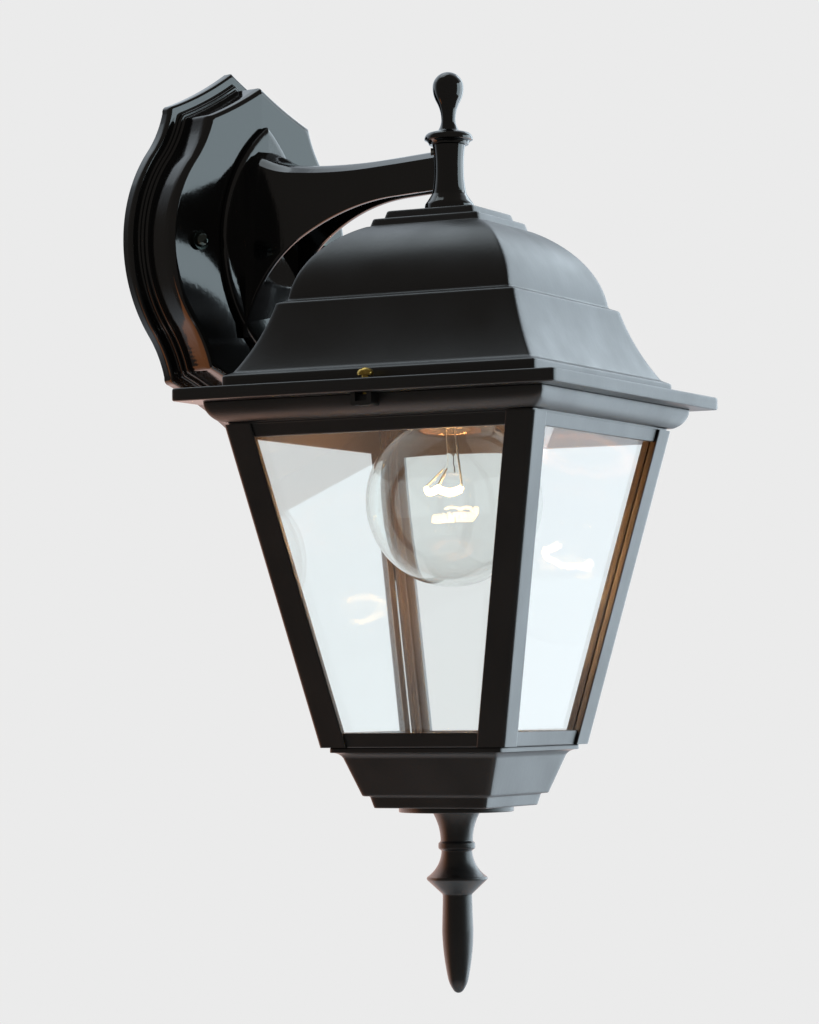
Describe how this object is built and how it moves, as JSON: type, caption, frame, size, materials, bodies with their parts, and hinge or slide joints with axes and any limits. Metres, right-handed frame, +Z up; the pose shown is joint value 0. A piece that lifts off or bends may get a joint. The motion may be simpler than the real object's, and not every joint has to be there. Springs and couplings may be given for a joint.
{
  "type": "wall lamp",
  "caption": "Square glazed lantern with an ogee roof, hung from a curved arm on a shaped wall plate, with a clear screw-cap bulb inside.",
  "frame": {"origin": "middle of the back plate on the wall plane, between the two wall screws", "axes": "+Y into the wall, +Z up, +X to the right as one faces the wall"},
  "size_m": [0.1846, 0.2133, 0.3408],
  "materials": {
    "black_paint": "gloss black paint on a smooth casting",
    "zinc_steel": "zinc plated",
    "brass": "plain brass",
    "white_plastic": "matt moulded",
    "lead_sleeve": "pale smooth sleeve",
    "holder_plastic": "dark moulded",
    "holder_ceramic": "unglazed",
    "cap_metal": "rolled",
    "bulb_glass": "clear",
    "pane_glass": "clear float",
    "filament": "glowing wire"
  },
  "bodies": {
    "wall_arm": {"wall_bracket": "zinc_steel", "bracket_studs": "zinc_steel", "earth_screw": "brass", "terminal_block": "white_plastic", "terminal_screws": "zinc_steel", "back_plate": "black_paint", "cap_nuts": "black_paint", "arm": "black_paint", "arm_screws": "zinc_steel", "arm_lead": "lead_sleeve", "top_finial": "black_paint", "set_screw": "zinc_steel", "threaded_tube": "zinc_steel", "tube_washer": "zinc_steel", "tube_nut": "zinc_steel", "holder_cap": "holder_plastic", "holder_skirt": "holder_plastic", "holder_insert": "holder_ceramic", "holder_sleeve": "brass", "holder_contact": "brass", "bulb_cap": "cap_metal", "bulb_insulator": "holder_plastic", "bulb_contact": "zinc_steel", "bulb_glass": "bulb_glass", "bulb_stem": "bulb_glass", "bulb_leads": "zinc_steel", "bulb_filament": "filament"},
    "lantern": {"roof": "black_paint", "roof_screws": "brass", "cage": "black_paint", "pane_right": "pane_glass", "pane_rear": "pane_glass", "pane_left": "pane_glass", "pane_front": "pane_glass", "base_cup": "black_paint", "base_screws": "zinc_steel", "bottom_finial": "black_paint", "finial_stud": "zinc_steel", "finial_nut": "zinc_steel"}
  },
  "joints": [
    {"name": "lantern_swivel", "type": "hinge", "parent": "wall_arm", "child": "lantern", "pos_m": [0, -0.121, 0.002], "axis": [0, 0, 1], "range_deg": [-109.2, 70.8]}
  ]
}
